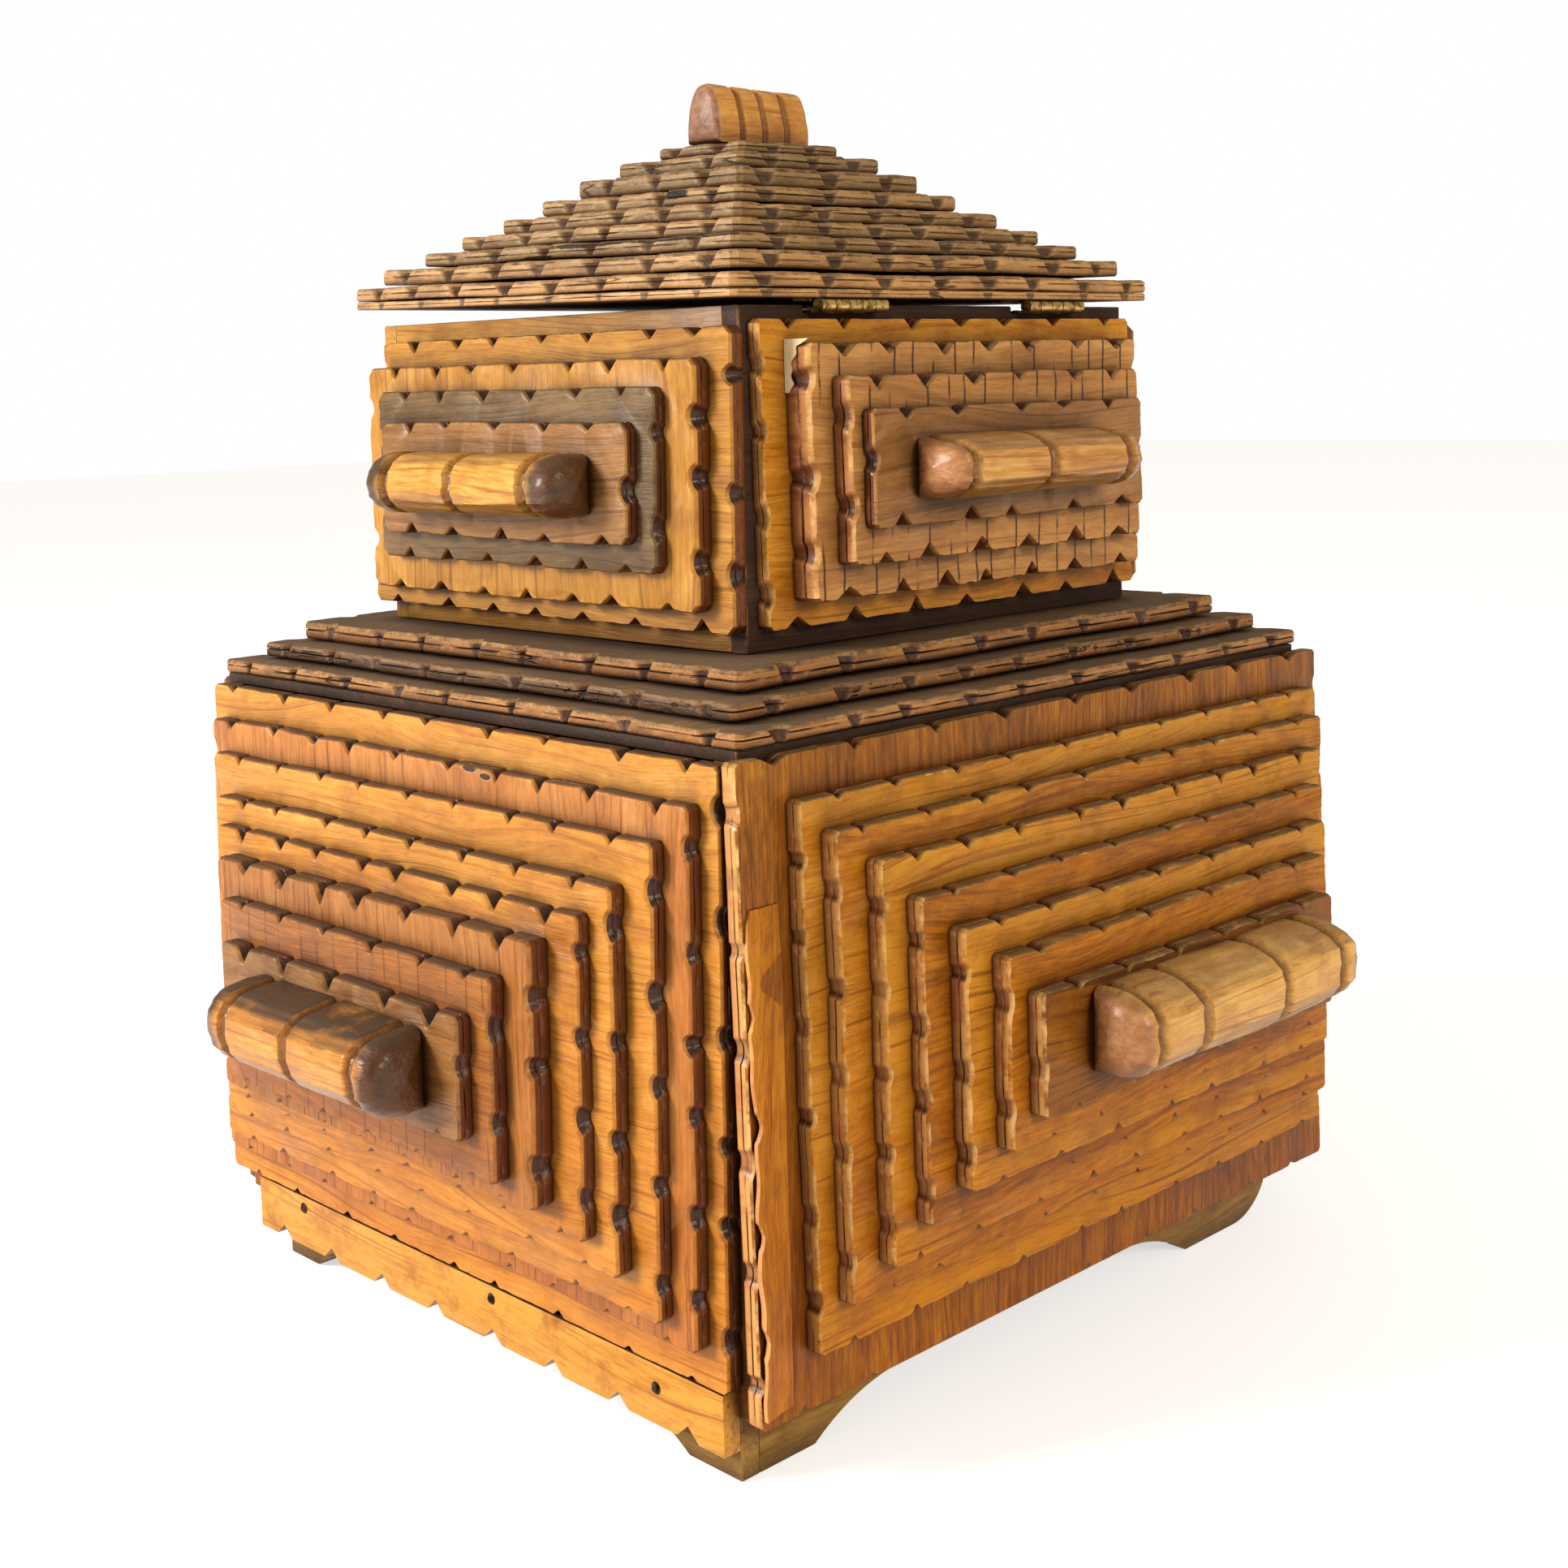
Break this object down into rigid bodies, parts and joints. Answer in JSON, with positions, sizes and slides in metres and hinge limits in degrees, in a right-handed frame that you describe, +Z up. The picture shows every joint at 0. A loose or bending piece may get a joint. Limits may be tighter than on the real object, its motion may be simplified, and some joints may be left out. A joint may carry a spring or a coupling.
{
  "type": "tramp art box",
  "caption": "Square notched-board box in two tiers, with a deep drawer in the lower tier and a hinged stepped pyramid lid on the upper one.",
  "frame": {"origin": "the floor under the middle of the box, halfway between the outer faces of its opposite bars", "axes": "+Z up, -Y out of the drawer front, +X towards the side where the lid is hinged"},
  "size_m": [0.3492, 0.3494, 0.3499],
  "materials": {
    "carcase_wood": "old bare cigar-box wood, darkened",
    "golden_wood": "worn golden varnish over thin boards",
    "brown_wood": "worn amber varnish over thin boards",
    "red_brown_wood": "dry red-brown varnish, cracked across",
    "weathered_wood": "dusty grey-brown, split and worn",
    "bar_wood": "hand-whittled, rubbed honey brown",
    "drawer_wood": "bare dry board",
    "dark_steel": "rusted dark nail and screw heads",
    "aged_brass": "aged brass"
  },
  "bodies": {
    "case": {"plinth_front": "carcase_wood", "plinth_back": "carcase_wood", "plinth_right": "carcase_wood", "plinth_left": "carcase_wood", "case_floor": "carcase_wood", "case_sides": "carcase_wood", "case_back": "carcase_wood", "case_top": "carcase_wood", "apron": "golden_wood", "lower_layer_1": "brown_wood", "lower_layer_2": "brown_wood", "lower_layer_3": "brown_wood", "lower_layer_4": "brown_wood", "lower_layer_5": "brown_wood", "lower_layer_6": "brown_wood", "lower_layer_7": "brown_wood", "lower_layer_8": "brown_wood", "shoulder_step_1": "weathered_wood", "shoulder_step_2": "weathered_wood", "shoulder_step_3": "weathered_wood", "side_bars": "bar_wood", "upper_floor": "carcase_wood", "upper_end_walls": "carcase_wood", "upper_side_walls": "carcase_wood", "upper_layer_1": "red_brown_wood", "upper_layer_2": "red_brown_wood", "upper_layer_3": "red_brown_wood", "upper_layer_4": "red_brown_wood", "upper_bars": "bar_wood", "hinge_box_leaves": "aged_brass", "hinge_pins": "aged_brass"},
    "drawer": {"drawer_inner_front": "drawer_wood", "drawer_sides": "drawer_wood", "drawer_back": "drawer_wood", "drawer_bottom": "drawer_wood", "drawer_layer_1": "golden_wood", "drawer_layer_2": "golden_wood", "drawer_layer_3": "golden_wood", "drawer_layer_4": "golden_wood", "drawer_layer_5": "golden_wood", "drawer_layer_6": "golden_wood", "drawer_layer_7": "golden_wood", "drawer_layer_8": "golden_wood", "drawer_pull": "bar_wood"},
    "lid": {"lid_base": "weathered_wood", "lid_step_1": "weathered_wood", "lid_step_2": "weathered_wood", "lid_step_3": "weathered_wood", "lid_step_4": "weathered_wood", "lid_step_5": "weathered_wood", "lid_step_6": "weathered_wood", "lid_step_7": "weathered_wood", "lid_step_8": "weathered_wood", "lid_step_9": "weathered_wood", "lid_handle": "bar_wood", "hinge_lid_leaves": "aged_brass"}
  },
  "joints": [
    {"name": "drawer_slide", "type": "slide", "parent": "case", "child": "drawer", "axis": [0, -1, 0], "range_m": [0, 0.15]},
    {"name": "lid_hinge", "type": "hinge", "parent": "case", "child": "lid", "pos_m": [0.082, 0, 0.2818], "axis": [0, 1, 0], "range_deg": [0, 130]}
  ]
}
